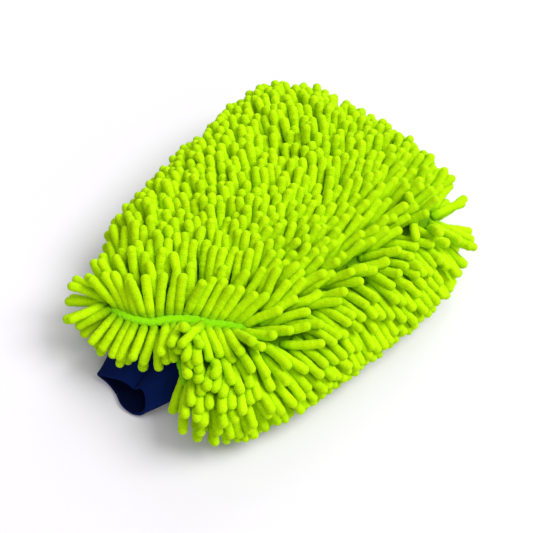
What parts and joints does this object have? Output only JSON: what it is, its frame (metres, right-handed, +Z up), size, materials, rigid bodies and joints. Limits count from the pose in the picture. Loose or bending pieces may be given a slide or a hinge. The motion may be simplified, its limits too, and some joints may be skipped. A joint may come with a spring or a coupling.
{
  "type": "wash mitt",
  "caption": "Chenille car wash mitt with long soft noodles on both sides, a lined hand pocket and a short double knit cuff.",
  "frame": {"origin": "on the surface the mitt lies on, under the middle of its bounding box", "axes": "+Y along the hand to the fingertips with the cuff at -Y, +Z up through the back of the hand, +X across the hand"},
  "size_m": [0.2046, 0.272, 0.075],
  "materials": {
    "chenille": "matte",
    "ground_cloth": "matte",
    "lining": "matte",
    "knit_cuff": "matte",
    "elastic": "matte",
    "lime_thread": "satin",
    "lining_thread": "satin",
    "navy_thread": "satin"
  },
  "bodies": {
    "mitt": {"back_pile": "chenille", "palm_pile": "chenille", "back_ground_cloth": "ground_cloth", "palm_ground_cloth": "ground_cloth", "mouth_binding": "ground_cloth", "mouth_binding_thread": "lime_thread", "shell_seam_thread": "lime_thread", "back_lining": "lining", "palm_lining": "lining", "lining_seam_thread": "lining_thread", "cuff_join_thread": "navy_thread"},
    "cuff_band": {"cuff": "knit_cuff", "cuff_seam_thread": "navy_thread", "wrist_elastic": "elastic", "mouth_fringe": "chenille"}
  },
  "joints": [
    {"name": "cuff_flex", "type": "hinge", "parent": "mitt", "child": "cuff_band", "pos_m": [0, -0.08, 0.03], "axis": [-1, 0, 0], "range_deg": [-15, 20], "stiffness_Nm_per_rad": 0.1}
  ]
}
